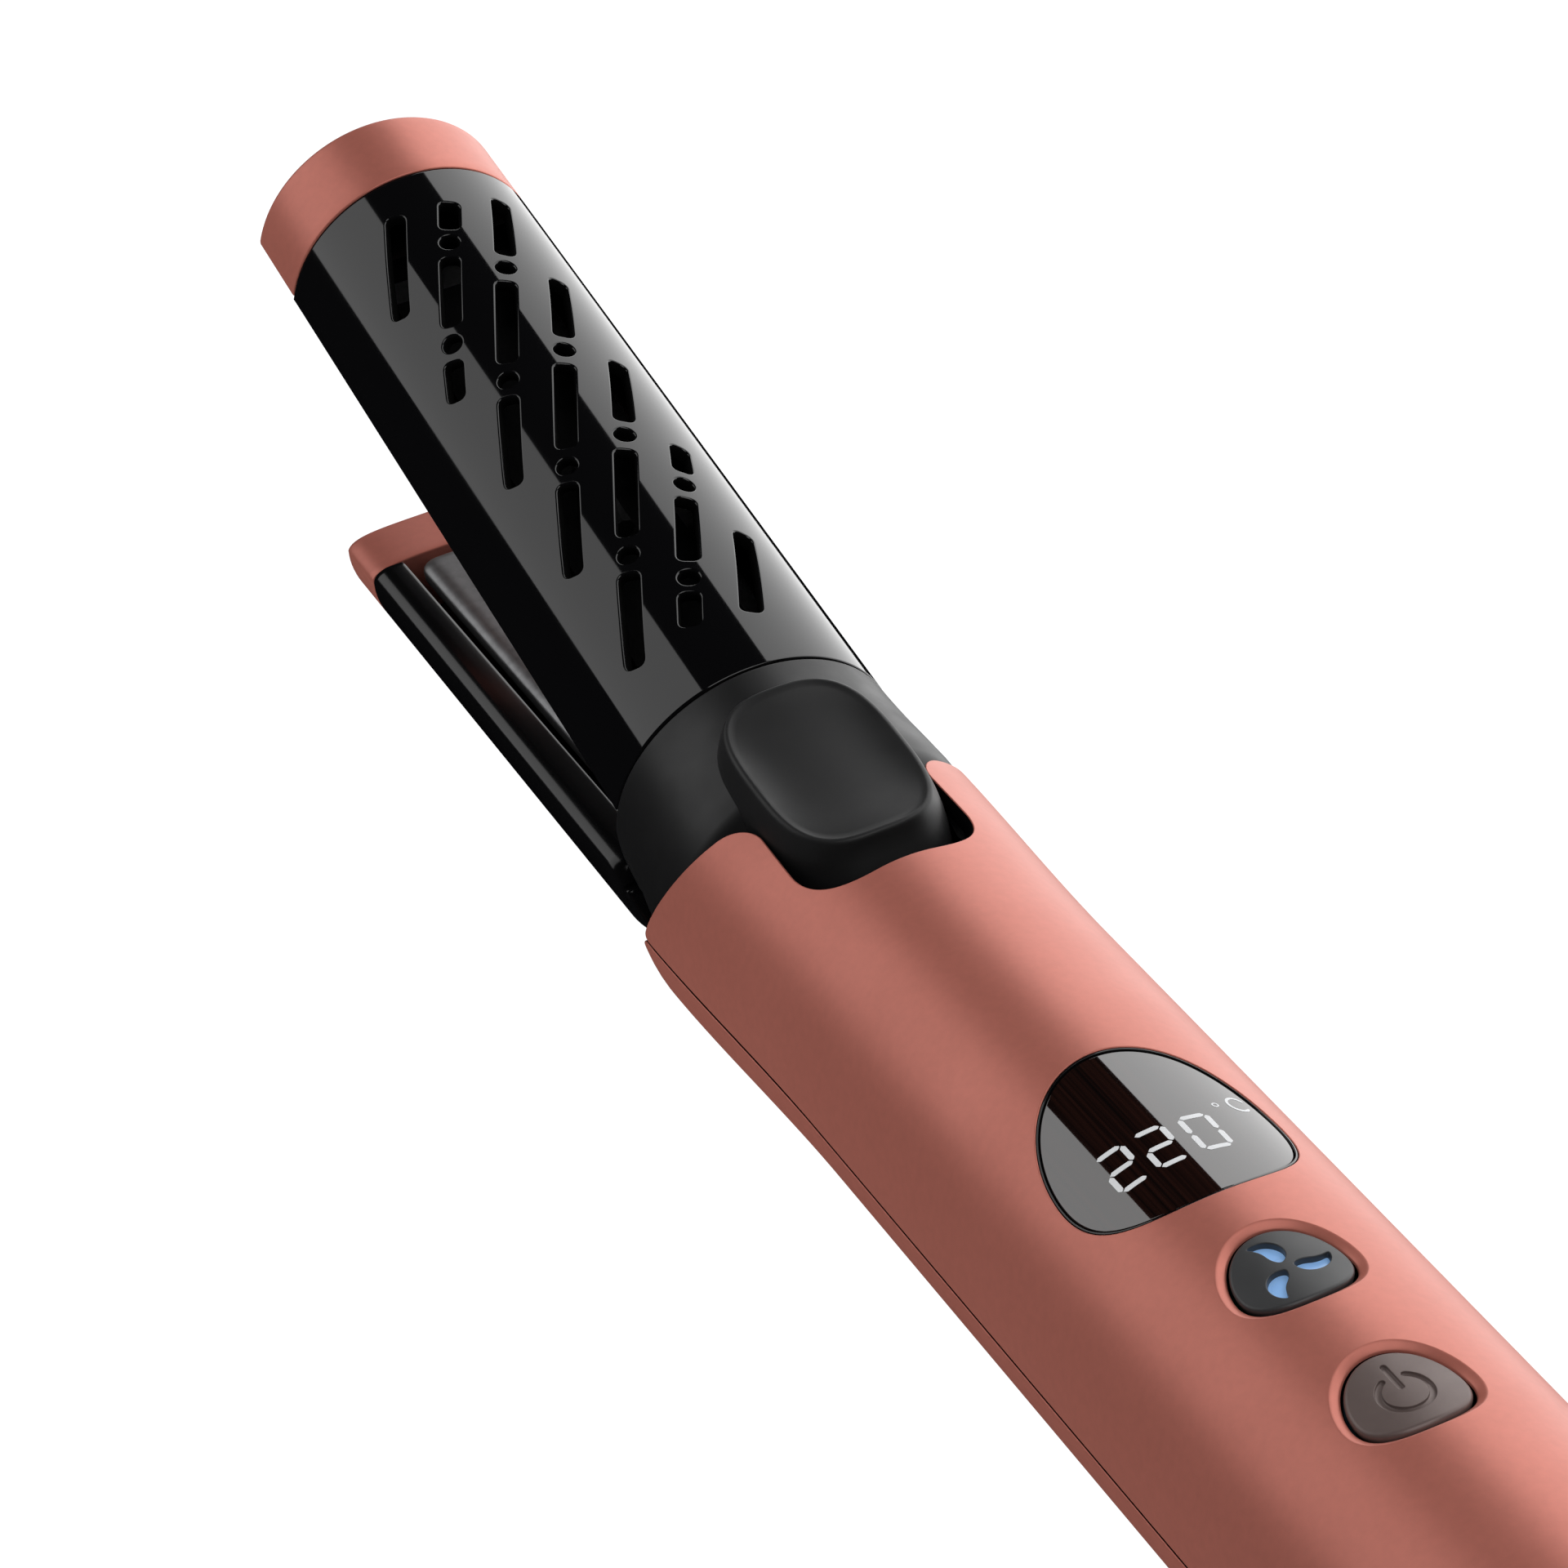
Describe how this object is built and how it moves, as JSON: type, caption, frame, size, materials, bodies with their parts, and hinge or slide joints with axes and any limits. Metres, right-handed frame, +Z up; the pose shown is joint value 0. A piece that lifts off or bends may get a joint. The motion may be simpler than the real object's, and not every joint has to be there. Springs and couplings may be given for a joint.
{
  "type": "curling iron",
  "caption": "Airflow curling iron: round handle with display and buttons, fixed plate arm below, and a sprung vented half-round barrel that closes onto it.",
  "frame": {"origin": "middle of the bounding box, on the surface that the handle lies on", "axes": "+X along the handle towards the barrel tip, +Y to the left, +Z up through the display"},
  "size_m": [0.3282, 0.0416, 0.0686],
  "materials": {
    "rose_shell": "satin",
    "black_gloss": "high gloss",
    "black_satin": "satin",
    "plate_coating": "smooth ceramic-type coating on aluminium",
    "lens_glass": "mirror-dark lens",
    "button_grey": "satin",
    "button_taupe": "satin",
    "window_blue": "translucent light guide",
    "steel": "machined",
    "aluminium": "as extruded",
    "heater_ceramic": "fired, wrapped in film",
    "silicone": "moulded",
    "circuit_board": "solder mask",
    "nylon": "natural",
    "filter_mesh": "etched mesh"
  },
  "bodies": {
    "handle": {"upper_shell": "rose_shell", "lower_shell": "rose_shell", "lower_arm_housing": "black_gloss", "lower_arm_tip_cap": "rose_shell", "plate_pad_rear": "silicone", "plate_pad_front": "silicone", "hinge_pin": "steel", "hinge_bracket": "steel", "arm_spring": "steel", "display_bezel": "black_gloss", "display_lens": "lens_glass", "display_module": "black_satin", "control_board": "circuit_board", "power_board": "circuit_board", "fan_switch": "black_satin", "power_switch": "black_satin", "fan_housing": "nylon", "fan_motor": "steel", "air_filter": "filter_mesh", "tail_cap": "black_satin", "swivel_retainer": "steel", "shell_screw_1": "steel", "shell_screw_2": "steel", "shell_screw_3": "steel", "shell_screw_4": "steel"},
    "upper_arm": {"barrel_shell": "black_gloss", "barrel_tip_cap": "rose_shell", "barrel_base": "black_gloss", "barrel_plate": "plate_coating", "barrel_heater": "heater_ceramic", "barrel_heater_clip": "aluminium", "thermal_fuse": "steel", "collar": "black_satin", "thumb_pad": "black_satin", "collar_screw_1": "steel", "collar_screw_2": "steel"},
    "lower_plate": {"lower_plate": "plate_coating", "lower_heater": "heater_ceramic", "lower_heater_clip": "aluminium"},
    "fan_button": {"fan_button": "button_grey", "fan_button_window": "window_blue"},
    "power_button": {"power_button": "button_taupe"},
    "impeller": {"impeller": "black_satin"},
    "cord_gland": {"cord_gland": "black_satin"}
  },
  "joints": [
    {"name": "arm_hinge", "type": "hinge", "parent": "handle", "child": "upper_arm", "pos_m": [0.02193, 0, 0.0193], "axis": [0, 1, 0], "range_deg": [0, 14], "stiffness_Nm_per_rad": 0.3, "springref_deg": -28.65},
    {"name": "plate_float", "type": "slide", "parent": "handle", "child": "lower_plate", "axis": [0, 0, 1], "range_m": [-0.0008, 0], "stiffness_N_per_m": 3000, "springref_m": 0.0004, "deforming": ["plate_pad_rear", "plate_pad_front"]},
    {"name": "fan_button_press", "type": "slide", "parent": "handle", "child": "fan_button", "axis": [0, 0, 1], "range_m": [-0.0008, 0], "stiffness_N_per_m": 1200, "springref_m": 0.0003},
    {"name": "power_button_press", "type": "slide", "parent": "handle", "child": "power_button", "axis": [0, 0, 1], "range_m": [-0.0008, 0], "stiffness_N_per_m": 1200, "springref_m": 0.0003},
    {"name": "impeller_spin", "type": "hinge", "parent": "handle", "child": "impeller", "pos_m": [-0.12407, 0, 0.0193], "axis": [1, 0, 0], "continuous": true},
    {"name": "cord_swivel", "type": "hinge", "parent": "handle", "child": "cord_gland", "pos_m": [-0.15607, 0, 0.0193], "axis": [1, 0, 0], "continuous": true}
  ]
}
